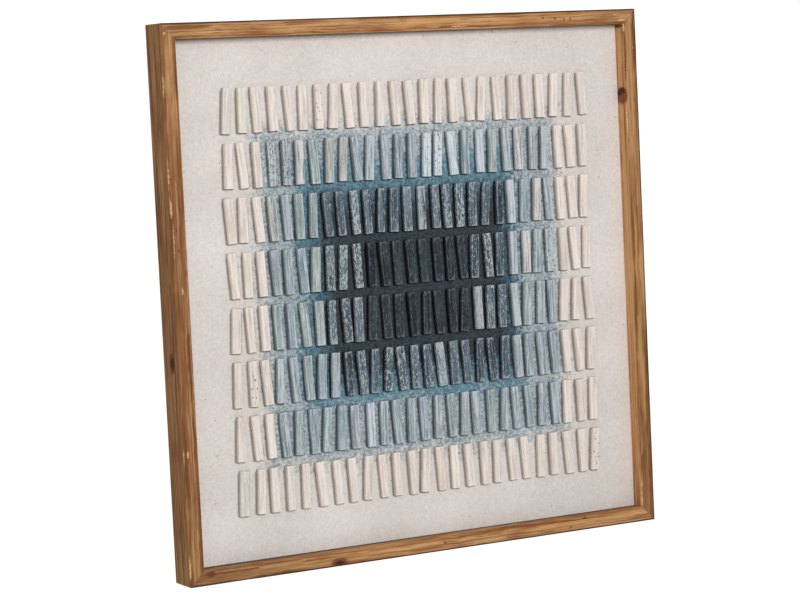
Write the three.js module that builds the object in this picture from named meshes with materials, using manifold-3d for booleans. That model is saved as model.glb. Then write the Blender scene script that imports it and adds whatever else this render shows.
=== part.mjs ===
// A square wall panel: four mitred laths of stained pine frame a plastered board,
// and eight rows of small split sticks stand on the plaster in low relief.
// Millimetres, +Z up. The front looks along -Y and the wall is the plane Y = 0.
// The origin is the middle of the top lath's back face, where the panel meets the wall.

import * as THREE from "three";
import Module from "manifold-3d";
import { mergeVertices } from "three/addons/utils/BufferGeometryUtils.js";

const wasm = await Module();
wasm.setup();

// The frame
const panelWidth = 600;
const panelHeight = 600;
const railFace = 17; // the lath's width, as seen from the front
const railDepth = 38; // from the wall to the front
const revealDepth = 17; // from the front of the lath down to the plaster
const rebateWidth = 6; // how far the rebate behind reaches under the reveal
const easedEdge = 0.8; // both front edges of a lath are broken by sandpaper
const mitreGap = 0.3; // between two laths at a corner

// The board, its plaster and its fit in the rebate
const boardThickness = 9; // a 6 mm board and 3 mm of sand plaster
const seatGap = 0.3; // between the plaster and the shoulder of the rebate
const boardPlay = 0.5; // around the board's edge

// A stick is split from a lath: upright sides, then a bevel up to a flat top
const stickLength = 49.5; // the longest
const stickWidth = 11.8; // the widest
const stickHeight = 5; // above the plaster
const stickSide = 2.4; // the height of the upright sides
const stickBevel = 1.3; // how far the bevel leans in on either side
const stickBed = 0.6; // how deep a stick is pressed into the plaster

// The field of sticks on the plaster, inside the frame. Its rings are counted from the outside:
// the sticks of the first and last row stand furthest apart, and those in the middle closest.
const sideMargin = 50.5;
const endMargin = 51.5;
const fieldRight = 3; // the field was laid a little to the right of the middle
const fieldDown = 2; // and a little low
const rowGap = 9.6;
const stickGapByRing = [7.1, 5.6, 5];

// How unevenly the sticks were cut and laid by hand
const lengthSpread = 1.2;
const widthSpread = 1.6;
const heightSpread = 0.8;
const leanLeft = 5; // degrees that the top of a stick leans to the left at most
const leanRight = 4;
const shiftMost = 1.6; // how far a stick lies off its even place at most
const stickClearance = 0.3; // the least room left between neighbours
const laySeed = 7;

const railBack = railFace - rebateWidth;
const plasterFace = railDepth - revealDepth - seatGap;
const fieldWidth = panelWidth - 2 * (railFace + sideMargin);
const fieldHeight = panelHeight - 2 * (railFace + endMargin);

function wood(color, roughness) {
  return new THREE.MeshStandardMaterial({ color, roughness, metalness: 0 });
}

const stainedPine = wood(0xa8733f, 0.55);
const sandPlaster = wood(0xd9d2ca, 0.9);

// The same run of even numbers from 0 to 1 each time, for one seed
function chanceFrom(seed) {
  const modulus = 2147483647;
  let state = seed;
  return () => {
    state = (state * 16807) % modulus;
    return state / modulus;
  };
}

function between(low, high, share) {
  return low + (high - low) * share;
}

// One lath with mitred ends. Its outer edge is at z = reach, and it is turned about Y to its side of the frame.
function rail(name, length, reach, turn) {
  const section = new THREE.Shape([
    new THREE.Vector2(0, 0),
    new THREE.Vector2(railBack, 0),
    new THREE.Vector2(railBack, railDepth - revealDepth),
    new THREE.Vector2(railFace, railDepth - revealDepth),
    new THREE.Vector2(railFace, railDepth - easedEdge),
    new THREE.Vector2(railFace - easedEdge, railDepth),
    new THREE.Vector2(easedEdge, railDepth),
    new THREE.Vector2(0, railDepth - easedEdge),
  ]);
  const geometry = new THREE.ExtrudeGeometry(section, { depth: 1, steps: 1, bevelEnabled: false });
  const corners = geometry.getAttribute("position");
  for (let i = 0; i < corners.count; i += 1) {
    const inward = corners.getX(i);
    const forward = corners.getY(i);
    const end = 1 - 2 * corners.getZ(i);
    const halfLength = length / 2 - inward - mitreGap / Math.SQRT2;
    corners.setXYZ(i, end * halfLength, -forward, reach - inward);
  }
  geometry.computeVertexNormals();
  const mesh = new THREE.Mesh(geometry, stainedPine);
  mesh.name = name;
  mesh.rotation.y = turn;
  return mesh;
}

// The centres of pieces that fill a span end to end with about the gap asked for
function spread(span, size, gap) {
  const count = Math.max(2, Math.round((span + gap) / (size + gap)));
  const pitch = (span - size) / (count - 1);
  const centres = Array.from({ length: count }, (_, place) => (place - (count - 1) / 2) * pitch);
  return { centres, room: (pitch - size - stickClearance) / 2 };
}

// Where each stick lies, row by row from the top left, and how it was cut.
// A stick leans and shifts only as far as the room to its neighbours allows.
function stickLays() {
  const chance = chanceFrom(laySeed);
  const halfLength = stickLength / 2;
  const rows = spread(fieldHeight, stickLength, rowGap).centres;
  const lays = [];
  rows.forEach((rowDrop, row) => {
    const ring = Math.min(row, rows.length - 1 - row, stickGapByRing.length - 1);
    const { centres, room } = spread(fieldWidth, stickWidth, stickGapByRing[ring]);
    for (const centre of centres) {
      const wanted = halfLength * Math.sin(THREE.MathUtils.degToRad(between(-leanRight, leanLeft, chance())));
      const sway = THREE.MathUtils.clamp(wanted, -room, room);
      const shift = Math.min(room - Math.abs(sway), shiftMost) * between(-1, 1, chance());
      const length = stickLength - lengthSpread * chance();
      const slide = (stickLength - length) * between(-0.5, 0.5, chance());
      lays.push({
        x: fieldRight + centre + shift,
        z: -fieldDown - rowDrop + slide,
        lean: Math.asin(sway / halfLength),
        length,
        width: stickWidth - widthSpread * chance(),
        height: stickHeight + heightSpread * between(-0.5, 0.5, chance()),
      });
    }
  });
  return lays;
}

// One stick, lying along Z in the middle of the panel, with its underside bedded in the plaster
function stickGeometry({ x, z, lean, length, width, height }) {
  const half = width / 2;
  const section = new THREE.Shape([
    new THREE.Vector2(-half, -stickBed),
    new THREE.Vector2(half, -stickBed),
    new THREE.Vector2(half, stickSide),
    new THREE.Vector2(half - stickBevel, height),
    new THREE.Vector2(-half + stickBevel, height),
    new THREE.Vector2(-half, stickSide),
  ]);
  const geometry = new THREE.ExtrudeGeometry(section, { depth: length, steps: 1, bevelEnabled: false });
  geometry.translate(0, 0, -length / 2);
  geometry.rotateZ(Math.PI); // the section's height now points to -Y, the front
  geometry.rotateY(-lean);
  geometry.translate(x, -plasterFace, z);
  return geometry;
}

function solidOf(geometry) {
  const bare = geometry.clone();
  bare.deleteAttribute("normal");
  bare.deleteAttribute("uv");
  const merged = mergeVertices(bare, 1e-4);
  return new wasm.Manifold(
    new wasm.Mesh({
      numProp: 3,
      vertProperties: new Float32Array(merged.getAttribute("position").array),
      triVerts: new Uint32Array(merged.getIndex().array),
    }),
  );
}

function geometryOf(solid) {
  const { vertProperties, triVerts } = solid.getMesh();
  const geometry = new THREE.BufferGeometry();
  geometry.setAttribute("position", new THREE.BufferAttribute(vertProperties, 3));
  geometry.setIndex(new THREE.BufferAttribute(triVerts, 1));
  geometry.computeVertexNormals();
  return geometry;
}

// The plastered board with every stick glued to it
function reliefBoard() {
  const edge = railBack + boardPlay;
  const board = new THREE.BoxGeometry(panelWidth - 2 * edge, boardThickness, panelHeight - 2 * edge);
  board.translate(0, boardThickness / 2 - plasterFace, 0);
  const sticks = stickLays().map((lay) => solidOf(stickGeometry(lay)));
  const relief = wasm.Manifold.union([solidOf(board), ...sticks]);
  const mesh = new THREE.Mesh(geometryOf(relief), sandPlaster);
  mesh.name = "relief_board";
  return mesh;
}

const panel = new THREE.Group();
panel.position.z = railBack / 2 - panelHeight / 2;
panel.add(rail("rail_top", panelWidth, panelHeight / 2, 0));
panel.add(rail("rail_right", panelHeight, panelWidth / 2, Math.PI / 2));
panel.add(rail("rail_bottom", panelWidth, panelHeight / 2, Math.PI));
panel.add(rail("rail_left", panelHeight, panelWidth / 2, -Math.PI / 2));
panel.add(reliefBoard());

export default panel;
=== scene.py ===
# %% [markdown]
# A relief wall panel of pine, plaster and sticks.
# The panel is a square of sand plaster in a frame of four stained pine laths. Eight rows of small
# split sticks are bedded in the plaster, and soft squares of thin paint run over sticks and plaster
# alike, from cream at the edge through pale blue and teal to charcoal in the middle. A imported CAD
# model gives every size and place. This lesson builds the finer laths, plaster and sticks over it,
# and gives each of them its finish. It begins by loading that model and noting how large it is.

# %% Load the imported model
import math

import bpy
import numpy as np
from mathutils import Matrix, Vector, noise


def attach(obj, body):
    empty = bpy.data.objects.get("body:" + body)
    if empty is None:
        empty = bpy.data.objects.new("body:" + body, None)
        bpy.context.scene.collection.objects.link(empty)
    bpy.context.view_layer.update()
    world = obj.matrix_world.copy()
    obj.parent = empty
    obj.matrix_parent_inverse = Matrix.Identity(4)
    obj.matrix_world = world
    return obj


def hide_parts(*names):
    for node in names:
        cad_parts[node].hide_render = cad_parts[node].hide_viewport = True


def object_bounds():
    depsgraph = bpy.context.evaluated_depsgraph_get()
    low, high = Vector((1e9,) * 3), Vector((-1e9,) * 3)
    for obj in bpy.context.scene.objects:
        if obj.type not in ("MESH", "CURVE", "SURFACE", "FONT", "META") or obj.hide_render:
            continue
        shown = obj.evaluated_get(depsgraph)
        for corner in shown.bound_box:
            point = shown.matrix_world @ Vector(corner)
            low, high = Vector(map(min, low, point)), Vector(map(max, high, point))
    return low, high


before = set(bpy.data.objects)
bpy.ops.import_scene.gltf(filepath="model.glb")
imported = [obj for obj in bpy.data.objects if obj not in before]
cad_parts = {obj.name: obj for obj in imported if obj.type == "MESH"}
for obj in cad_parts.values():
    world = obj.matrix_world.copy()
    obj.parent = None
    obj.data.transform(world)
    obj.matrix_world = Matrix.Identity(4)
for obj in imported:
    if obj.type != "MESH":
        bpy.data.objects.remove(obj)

cad_low, cad_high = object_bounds()
print("CAD nodes:", ", ".join(sorted(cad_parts)))
print("CAD box in metres:", [round(high - low, 4) for low, high in zip(cad_low, cad_high)])

# %% [markdown]
# Sizes are in metres, as the CAD's are once it is packed. The wall is the plane Y = 0 and the front
# looks along -Y, so the front of the frame lies at Y = -0.038. The middle of the panel is a handy
# point: the rows of sticks and the painted squares are both laid out from it.

# %% Name the sizes of the panel
mm = 0.001
panel_size = cad_high.x - cad_low.x
panel_middle = (cad_low.z + cad_high.z) / 2
lath_depth = cad_high.y - cad_low.y
lath_face = 17 * mm
lath_back = 11 * mm
reveal_depth = 17 * mm
mitre_gap = 0.04 * mm
plaster_face = 20.7 * mm
board_back = 11.7 * mm
board_play = 0.5 * mm
board_size = panel_size - 2 * (lath_back + board_play)
print(f"panel {panel_size / mm:.0f} mm square and {lath_depth / mm:.0f} mm deep")
print(f"its middle is at Z {panel_middle / mm:.1f} mm")

# %% [markdown]
# The photograph was taken from well to the left of the panel and slightly above its middle, with a
# long lens, so that its far side shrinks only a little. Three turns describe such a view: how far
# the camera looks to the right of square-on, how far it dips, and how far it is tilted.

# %% Set the camera
camera_place = Vector((-1.36909, -2.47353, -0.08028))
camera_right = math.radians(28.823)
camera_dip = math.radians(4.676)
camera_tilt = math.radians(2.735)
focal_length = 113.24
sensor_width = 36

camera = bpy.data.objects.new("camera", bpy.data.cameras.new("camera"))
camera.data.lens = focal_length
camera.data.sensor_width = sensor_width
camera.location = camera_place
turn = Matrix.Rotation(-camera_right, 3, "Z") @ Matrix.Rotation(math.pi / 2 - camera_dip, 3, "X")
camera.rotation_euler = (turn @ Matrix.Rotation(-camera_tilt, 3, "Z")).to_euler()
bpy.context.scene.collection.objects.link(camera)
bpy.context.scene.camera = camera
print("camera looks along", [round(value, 4) for value in turn @ Vector((0, 0, -1))])

# %% [markdown]
# Every finish below is a small tree of shader nodes. One helper adds any node, sets its properties
# and fills its inputs with plain values or with links from other nodes. Another turns the colours,
# which are written as sRGB hex values, into the linear ones that shaders work in. A noise asks how
# many of its marks lie in a metre. A maker counts fibres or grains in a centimetre, so the scale of
# every pattern is such a count times "per_cm".

# %% Helpers for colours and nodes
per_cm = 1 / (10 * mm)


def linear(hex_colour):
    """An sRGB hex colour as the linear colour that a shader works in."""
    shares = [int(hex_colour[i:i + 2], 16) / 255 for i in (1, 3, 5)]
    return [s / 12.92 if s <= 0.04045 else ((s + 0.055) / 1.055) ** 2.4 for s in shares] + [1.0]


def add_node(tree, kind, inputs=None, stops=None, **settings):
    """Adds a node, sets its properties, and fills its inputs with values or links."""
    node = tree.nodes.new(kind)
    for name, value in settings.items():
        setattr(node, name, value)
    if stops:
        ramp = node.color_ramp.elements
        ramp.remove(ramp[1])
        ramp[0].position = stops[0][0]
        ramp[0].color = linear(stops[0][1])
        for place, hex_colour in stops[1:]:
            ramp.new(place).color = linear(hex_colour)
    for key, value in (inputs or {}).items():
        named = [socket for socket in node.inputs if socket.enabled and socket.name == key]
        socket = named[0] if named else node.inputs[key]
        if isinstance(value, bpy.types.Node):
            value = next(output for output in value.outputs if output.enabled)
        if isinstance(value, bpy.types.NodeSocket):
            tree.links.new(value, socket)
        else:
            socket.default_value = value
    return node


print("mid grey, #808080, is", round(linear("#808080")[0], 3), "in linear light")

# %% [markdown]
# The other helpers make a finish with its shader, lay coats of colour over one another, put a new
# mesh in the scene, and keep a value for each of its points. A coat is how paint, dirt and wear
# build up on the real thing: a colour, and a mask that says where it lies.

# %% Helpers for finishes and pieces
def new_finish(name):
    """A material with a Principled shader on its output, and its tree."""
    finish = bpy.data.materials.new(name)
    finish.use_nodes = True
    finish.node_tree.nodes.clear()
    shader = add_node(finish.node_tree, "ShaderNodeBsdfPrincipled")
    add_node(finish.node_tree, "ShaderNodeOutputMaterial", {"Surface": shader})
    return finish, finish.node_tree, shader


def layered(tree, colour, coats):
    """Lays coats over a colour, each where its pattern goes from one level to another, up to a most."""
    for pattern, bare_at, full_at, most, coat in coats:
        cover = add_node(tree, "ShaderNodeMapRange", {
            "Value": pattern,
            "From Min": bare_at,
            "From Max": full_at,
            "To Max": most,
        }, interpolation_type="SMOOTHSTEP")
        colour = add_node(tree, "ShaderNodeMix", {
            "Factor": cover,
            "A": colour,
            "B": linear(coat),
        }, data_type="RGBA").outputs[2]
    return colour


def new_piece(name, points, faces, finish):
    """An object at the origin with its place in its mesh."""
    mesh = bpy.data.meshes.new(name)
    mesh.from_pydata(points, [], faces)
    mesh.materials.append(finish)
    piece = bpy.data.objects.new(name, mesh)
    bpy.context.scene.collection.objects.link(piece)
    return piece


def store(mesh, name, kind, values):
    """Keeps one value for each point of the mesh under a name that a finish can read."""
    field = {"FLOAT": "value", "FLOAT_VECTOR": "vector", "FLOAT_COLOR": "color"}[kind]
    attribute = mesh.attributes.new(name, kind, "POINT")
    attribute.data.foreach_set(field, np.asarray(values, dtype=np.float32).ravel())


# %% [markdown]
# The picture was lit the way small goods are: white all round, with one large soft box nearly
# straight ahead and a little above. That leaves only a narrow shadow under the top lath and a
# shorter one under the end of each stick. A white world gives the even part of that light, and an
# area light gives the rest. The pale floor lies 1.3 m under the panel, which is the height that such
# a panel hangs at, and is out of the camera's sight.

# %% Light and floor
scene = bpy.context.scene
scene.view_settings.view_transform = "Standard"
surround_strength = 0.42
backdrop_strength = 1.1

scene.world = bpy.data.worlds.new("studio")
scene.world.use_nodes = True
world_tree = scene.world.node_tree
world_tree.nodes.clear()
seen = add_node(world_tree, "ShaderNodeLightPath").outputs["Is Camera Ray"]
strength = add_node(world_tree, "ShaderNodeMapRange", {
    "Value": seen,
    "To Min": surround_strength,
    "To Max": backdrop_strength,
})
white = add_node(world_tree, "ShaderNodeBackground", {"Color": (1, 1, 1, 1), "Strength": strength})
add_node(world_tree, "ShaderNodeOutputWorld", {"Surface": white})


def soft_box(name, left, up, distance, width, height, power):
    """A soft lamp so many degrees to the left and up as the panel sees it, turned to its middle."""
    lamp = bpy.data.lights.new(name, "AREA")
    lamp.shape = "RECTANGLE"
    lamp.size = width
    lamp.size_y = height
    lamp.energy = power
    light = bpy.data.objects.new(name, lamp)
    middle = Vector((0, -lath_depth, panel_middle))
    level = math.cos(math.radians(up))
    light.location = middle + distance * Vector((
        -math.sin(math.radians(left)) * level,
        -math.cos(math.radians(left)) * level,
        math.sin(math.radians(up)),
    ))
    light.rotation_euler = (middle - light.location).to_track_quat("-Z", "Y").to_euler()
    light.visible_camera = False
    scene.collection.objects.link(light)
    return light


soft_box("front_box", left=12, up=19, distance=3.0, width=1.3, height=0.8, power=46)

floor_drop = 1.3
floor_reach = 2.8
floor_finish, floor_tree, floor_shader = new_finish("pale_floor")
floor_shader.inputs["Base Color"].default_value = linear("#F4F2EE")
floor_shader.inputs["Roughness"].default_value = 0.8
floor_level = cad_low.z - floor_drop
corners = [(-1, -1), (1, -1), (1, 1), (-1, 1)]
floor_points = [(x * floor_reach, y * floor_reach, floor_level) for x, y in corners]
floor = new_piece("floor", floor_points, [(0, 1, 2, 3)], floor_finish)
print(f"floor at Z {floor_level:.3f} m")

# %% [markdown]
# The laths are stained pine, planed to 17 by 38 mm, rebated behind for the board, mitred and then
# rubbed by hand, so no front edge is quite sharp. A box would show none of that. Each lath is drawn
# as a section, moved along the lath in small steps. At each step the two front edges are rounded by
# as much as the wood is worn there, which also leaves the chips that show on the real frame. A point
# keeps its place in the lath as the attribute "grain", so the figure of the wood runs along each lath
# and turns the corner of its section.

# %% Describe the wear on the laths
lath_names = ["top", "right", "bottom", "left"]
edge_radius = 0.6 * mm
edge_least = 0.3 * mm
slow_wander = 0.3 * mm
quick_wander = 0.09 * mm
face_wander = 0.1 * mm

# How many waves each kind of wander has in a metre
slow_waves = 60
quick_waves = 260
chip_waves = 420
face_waves = 9

# The lath, its edge, the middle and half length of the worn stretch, and how deep it goes
worn_stretches = [
    ("left", "outer", 234 * mm, 14 * mm, 1.5 * mm),
    ("left", "outer", 140 * mm, 20 * mm, 2.0 * mm),
    ("left", "outer", 108 * mm, 14 * mm, 1.6 * mm),
    ("left", "outer", -160 * mm, 10 * mm, 1.2 * mm),
    ("left", "outer", -280 * mm, 15 * mm, 2.2 * mm),
    ("top", "outer", -210 * mm, 26 * mm, 0.8 * mm),
    ("top", "inner", 180 * mm, 5 * mm, 1.4 * mm),
    ("right", "inner", -172 * mm, 18 * mm, 1.5 * mm),
    ("right", "inner", 266 * mm, 22 * mm, 1.6 * mm),
    ("bottom", "inner", -60 * mm, 20 * mm, 0.8 * mm),
    ("bottom", "outer", 240 * mm, 24 * mm, 1.2 * mm),
]


def wander(along, lath, waves):
    """A hand's even wander between -1 and 1, different for each lath and each number of waves."""
    return noise.noise(Vector((along * waves, lath * 7.3, waves * 0.01)))


def edge_worn(lath, edge, along):
    """The radius that wear has given one front edge of a lath at one place."""
    own = lath + (0.4 if edge == "inner" else 0)
    radius = edge_radius
    radius += slow_wander * wander(along, own, slow_waves)
    radius += quick_wander * wander(along, own, quick_waves)
    for name, worn_edge, middle, half, depth in worn_stretches:
        if name == lath_names[lath] and worn_edge == edge:
            share = max(0.0, 1 - abs(along - middle) / half)
            ragged = 0.6 + 0.9 * wander(along, own, chip_waves)
            radius += depth * min(1.0, 2 * share) * max(0.0, ragged)
    return max(radius, edge_least)


def rounded(across, down, radius):
    """Where a point beside a square edge goes when the edge is rounded."""
    if across >= radius or down >= radius:
        return across, down
    reach = math.hypot(radius - across, radius - down)
    if reach <= radius:
        return across, down
    return radius - (radius - across) * radius / reach, radius - (radius - down) * radius / reach


print(len(worn_stretches), "worn stretches on the laths")

# %% [markdown]
# A lath needs its points where something happens: many near the two front edges and near the mitres,
# few on the flat stretches between them. So its section is a short list of sides, each with the step
# that it is cut into, and the stations along the lath come closer together at both ends.

# %% Place the points of a lath
lath_step = 1.5 * mm
edge_places = [0.15 * mm, 0.4 * mm, 0.7 * mm, 1.2 * mm, 2.0 * mm, 3.0 * mm]
end_places = [0.3 * mm, 0.6 * mm, 1.0 * mm, 1.5 * mm, 2.2 * mm]


def stations_along():
    """Where a lath's section is repeated, from -1 to 1, closer together at the mitres."""
    half = panel_size / 2
    count = round((panel_size - 2 * end_places[-1]) / lath_step)
    middle = np.linspace(-half + end_places[-1], half - end_places[-1], count + 1)
    ends = [half - place for place in [0] + end_places[:-1]]
    return [place / half for place in sorted([-end for end in ends] + list(middle) + ends)]


def places_between(length, first_fine, last_fine, step):
    """Distances along one side of the section, short of its end and closer near a front edge."""
    start = edge_places if first_fine else []
    end = [length - place for place in edge_places] if last_fine else []
    low = max([0] + start)
    high = min([length] + end)
    middle = np.linspace(low, high, max(1, round((high - low) / step)) + 1)
    return sorted({0, *start, *middle, *end} - {length})


def lath_section():
    """Points round the section as distances inward from the outer side and forward from the wall."""
    shoulder = lath_depth - reveal_depth
    sides = [
        ((0, 0), (lath_back, 0), False, False, 4 * mm),
        ((lath_back, 0), (lath_back, shoulder), False, False, 5 * mm),
        ((lath_back, shoulder), (lath_face, shoulder), False, False, 3 * mm),
        ((lath_face, shoulder), (lath_face, lath_depth), False, True, 2 * mm),
        ((lath_face, lath_depth), (0, lath_depth), True, True, 1.5 * mm),
        ((0, lath_depth), (0, 0), True, False, 2.5 * mm),
    ]
    points = []
    for (x0, y0), (x1, y1), first_fine, last_fine, step in sides:
        length = math.hypot(x1 - x0, y1 - y0)
        for place in places_between(length, first_fine, last_fine, step):
            share = place / length
            points.append((x0 + (x1 - x0) * share, y0 + (y1 - y0) * share))
    return points


section = lath_section()
shares = stations_along()
print(f"{len(section)} points in a section, repeated at {len(shares)} stations")

# %% [markdown]
# Wear moves those points, and three more attributes go with them for the finish: "wear", how much
# wood is gone there, "stain_and_light", how deep the stain went, with painted light where it is
# below 0, and "dark_edge_and_shade", how much darker the outer front edge is, with painted shade
# where the plaster meets the reveal.

# %% Wear, stain and soil at one place
# How far sanding has rounded each outer corner of the frame
corner_radii = {
    ("right", "top"): 2.2 * mm,
    ("right", "bottom"): 1.2 * mm,
    ("left", "bottom"): 1.0 * mm,
    ("left", "top"): 1.4 * mm,
}

# How deep the stain is at the start, middle and end of each lath and of its reveal (below 0 the wood
# is paler, partly its own paler wood and partly painted light on the right reveal, which faces the
# light), how much of it the outer side took (kept low, partly as painted light on that side), how much
# darker the outer front edge is, how much shade is painted where the plaster meets the reveal, and how
# much wood has to be gone before the bare wood shows
lath_stain = [(0.64, 0.28, 0.56), (0.76, 0.48, 1.25), (0.42, 0.40, 1.0), (0.86, 0.90, 0.80)]
reveal_stain_and_light = [(0.56, 0.36, 0.52), (0.1, -0.4, 0.2), (0.50, 0.56, 0.90), (0.86, 0.90, 0.76)]
side_stain_and_light = 0.7
edge_dark = [1.0, 1.0, 1.0, 0.25]
seat_shade = [0.5, 0.15, 1.0, 0.5]
edge_dark_reach = 2.4 * mm
seat_shade_reach = 8 * mm
bare_depth = 0.7 * mm


def corner_rounded(place):
    """Where a point of the frame goes when its outer corners are sanded round."""
    across = panel_size / 2 - abs(place.x)
    down = panel_size / 2 - abs(place.z)
    side = "right" if place.x > 0 else "left"
    end = "top" if place.z > 0 else "bottom"
    across, down = rounded(across, down, corner_radii[side, end])
    x = math.copysign(panel_size / 2 - across, place.x)
    z = math.copysign(panel_size / 2 - down, place.z)
    return Vector((x, place.y, z))


def worn_section(lath, share):
    """The section at one place, each point as drawn, as worn, and with how much wood is gone."""
    outer = edge_worn(lath, "outer", share * panel_size / 2)
    inner = edge_worn(lath, "inner", share * (panel_size / 2 - lath_face))
    for inward, forward in section:
        down = lath_depth - forward
        across, sunk = rounded(inward, down, outer)
        if inward > lath_face / 2:
            across, sunk = rounded(lath_face - inward, down, inner)
            across = lath_face - across
        gone = math.hypot(across - inward, sunk - down)
        uneven = wander(share + forward * 9, lath + inward * 40, face_waves)
        dip = face_wander * (0.5 + 0.5 * uneven)
        if down == 0 and 0 < inward < lath_face:
            sunk += dip
        elif inward == 0 and forward > 0:
            across += dip
        yield inward, forward, across, sunk, gone


def stain_and_light_at(lath, share, inward):
    """How deep the stain is at one place, on the reveal, the outer side or the face, with its painted
    light.
    """
    depths = reveal_stain_and_light if inward == lath_face else lath_stain
    depth = np.interp(share, (-1, 0, 1), depths[lath])
    return side_stain_and_light * depth if inward == 0 else depth


def dark_edge_and_shade_at(lath, inward, down):
    """How much darker a lath is at its outer front edge, and how much shade is painted where the
    plaster meets it.
    """
    if inward == lath_face:
        return seat_shade[lath] * max(0, 1 - (reveal_depth - down) / seat_shade_reach)
    return edge_dark[lath] * max(0, 1 - inward / edge_dark_reach) * max(0, 1 - down / edge_dark_reach)


for lath, side in enumerate(lath_names):
    print(f"soil where the {side} lath meets the plaster: {dark_edge_and_shade_at(lath, lath_face, reveal_depth):.2f}")

# %% [markdown]
# The lath itself is a tube: the section, worn a little differently at every station, with faces from
# each station to the next and one face at either end. The grain of each lath starts two metres from
# the last one's, so no two laths show the same figure.

# %% Build a lath
laths_apart = 2


def tube_faces(count, stations):
    """The faces of a closed tube with so many points in a section and so many sections."""
    last = (stations - 1) * count
    faces = [tuple(range(count)), tuple(last + i for i in reversed(range(count)))]
    for first in range(0, last, count):
        for i in range(count):
            j = (i + 1) % count
            faces.append((first + j, first + i, first + count + i, first + count + j))
    return faces


def make_lath(lath, finish):
    """One lath of the frame, turned to its side of the panel."""
    turn = Matrix.Rotation(lath * math.pi / 2, 3, "Y")
    middle = Vector((0, 0, panel_middle))
    points = []
    grain = []
    marks = {"wear": [], "stain_and_light": [], "dark_edge_and_shade": []}
    for share in shares:
        for inward, forward, across, sunk, gone in worn_section(lath, share):
            along = share * (panel_size / 2 - across - mitre_gap / math.sqrt(2))
            place = turn @ Vector((along, sunk - lath_depth, panel_size / 2 - across))
            points.append(corner_rounded(place) + middle)
            grain.append((along + laths_apart * lath, inward, forward))
            marks["wear"].append(min(1.0, gone / bare_depth))
            marks["stain_and_light"].append(stain_and_light_at(lath, share, inward))
            marks["dark_edge_and_shade"].append(dark_edge_and_shade_at(lath, inward, lath_depth - forward))
    faces = tube_faces(len(section), len(shares))
    piece = new_piece(f"lath_{lath_names[lath]}", points, faces, finish)
    store(piece.data, "grain", "FLOAT_VECTOR", grain)
    for name, values in marks.items():
        store(piece.data, name, "FLOAT", values)
    piece.data.shade_smooth()
    piece.data.set_sharp_from_angle(angle=math.radians(35))
    return piece


print(f"{len(shares) * len(section)} points in a lath")

# %% [markdown]
# Pine takes stain unevenly: the soft early wood drinks it and goes dark, the hard late wood stays
# lighter, and the tone drifts along the lath. The figure comes from patterns on the grain
# coordinates: year rings about 4 mm apart, and noises drawn out along the lath as streaks, bands,
# thin lines, pores and slow patches. Colour is laid on as coats over the bare wood, each through its
# own mask. Knots, worm holes and scratches are few and each has its own place, so they are short
# lists, and a loop adds a soft spot for each. Their outlines are frayed, or they would look stamped.

# %% Name the marks on the laths
# The lath, then the place along it, inward and forward in mm, then half the size the same ways
dark_marks_and_shadow = [
    ("top", (174, 7.5, 38), (1.3, 1.3, 3)),
    ("top", (190, 8.7, 38), (1.6, 1.5, 3)),
    ("top", (202, 9.7, 38), (1.4, 1.4, 3)),
    ("top", (210, 10.0, 38), (0.9, 2.0, 3)),
    ("top", (232, 10.8, 38), (0.9, 1.0, 3)),
    ("right", (-236, 16.1, 38), (22, 0.7, 3)),
    # A painted shadow in the inside corner where the top lath's reveal meets the right one
    ("right", (-281, 17, 27), (2.4, 3, 9)),
    ("left", (223, 1.7, 38), (8, 0.45, 3)),
    ("left", (82, 6.5, 38), (1.4, 0.9, 3)),
    ("left", (60, 7.5, 38), (1.1, 0.8, 3)),
    ("bottom", (-201, 13.9, 38), (3.2, 0.9, 3)),
    ("bottom", (-182, 5.6, 38), (2.2, 0.8, 3)),
    ("bottom", (-14, 8.6, 38), (2.7, 0.8, 3)),
]
knot_hearts = [
    ("right", (-206, 17, 31), (3.6, 4, 7)),
    ("right", (-203, 17, 25), (3.0, 4, 6)),
    ("bottom", (120, 4, 38), (6, 2.6, 4)),
    ("left", (-60, 0, 22), (6, 4, 4)),
]
knot_rims = [
    ("right", (-200, 17, 29), (10, 4, 13)),
    ("bottom", (120, 4.5, 38), (11, 5, 8)),
    ("left", (-60, 0, 22), (11, 6, 7)),
    ("bottom", (275, 12, 38), (6, 3.5, 6)),
]
bare_scratches = [
    ("top", (30, 13.4, 38), (9, 0.5, 2)),
    ("top", (62, 13.8, 38), (12, 0.7, 2)),
    ("top", (272, 6.2, 38), (1.5, 1.0, 2)),
    ("top", (281, 13.0, 38), (4.5, 1.1, 2)),
    ("right", (-279, 16.2, 38), (5, 1.2, 3)),
    ("right", (-255, 5.0, 38), (2.0, 0.9, 2)),
    ("right", (-172, 16.2, 38), (24, 0.7, 3)),
    ("left", (104, 1.6, 38), (10, 1.0, 3)),
    ("left", (70, 2.6, 38), (22, 0.5, 3)),
    ("left", (17, 9.5, 38), (4.0, 0.9, 2)),
    ("left", (-157, 5.4, 38), (5.0, 1.1, 2)),
    ("left", (-280, 0.8, 38), (11, 0.8, 3)),
    ("left", (289, 4.5, 38), (1.5, 1.5, 2)),
    ("bottom", (90, 12.0, 38), (9, 0.5, 2)),
]

print(len(knot_hearts), "knots,", len(dark_marks_and_shadow), "dark marks and", len(bare_scratches), "scratches")

# %% The grain of the pine
pine, pine_tree, pine_shader = new_finish("stained_pine_matt_waxed")
grain_place = add_node(pine_tree, "ShaderNodeAttribute", attribute_name="grain").outputs["Vector"]

# Frays the outline of every mark
fray = add_node(pine_tree, "ShaderNodeTexNoise", {
    "Vector": grain_place,
    "Scale": 6.5 * per_cm,
    "Detail": 2.0,
})
fray_reach = Vector((7.0, 3.0, 3.0)) * mm
half_back = add_node(pine_tree, "ShaderNodeVectorMath", {
    0: grain_place,
    1: fray_reach / 2,
}, operation="SUBTRACT")
frayed = add_node(pine_tree, "ShaderNodeVectorMath", {
    0: fray.outputs["Color"],
    1: fray_reach,
    2: half_back,
}, operation="MULTIPLY_ADD").outputs[0]

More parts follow.
